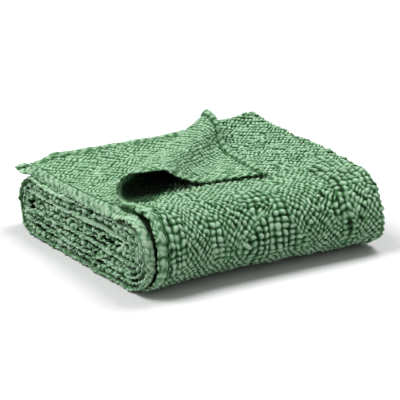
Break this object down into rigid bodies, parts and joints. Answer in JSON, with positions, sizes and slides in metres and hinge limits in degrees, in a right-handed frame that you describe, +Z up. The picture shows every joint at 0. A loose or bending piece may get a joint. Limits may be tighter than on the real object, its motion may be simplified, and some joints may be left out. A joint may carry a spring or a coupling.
{
  "type": "folded waffle weave cotton blanket",
  "caption": "Green waffle weave cotton blanket, folded lengthwise, rolled flat into a soft stack, one loose corner turned back over the top.",
  "frame": {"origin": "centre of the bounding box in plan, on the face that the folded blanket lies on", "axes": "+X along the roll, away from the loose hems; -Y towards the rolled front; +Z up"},
  "size_m": [0.4814, 0.4425, 0.1693],
  "materials": {
    "waffle_cotton": "washed, dyed green waffle weave cotton, matt and crinkled"
  },
  "bodies": {
    "root": {"blanket": "waffle_cotton"}
  },
  "joints": []
}
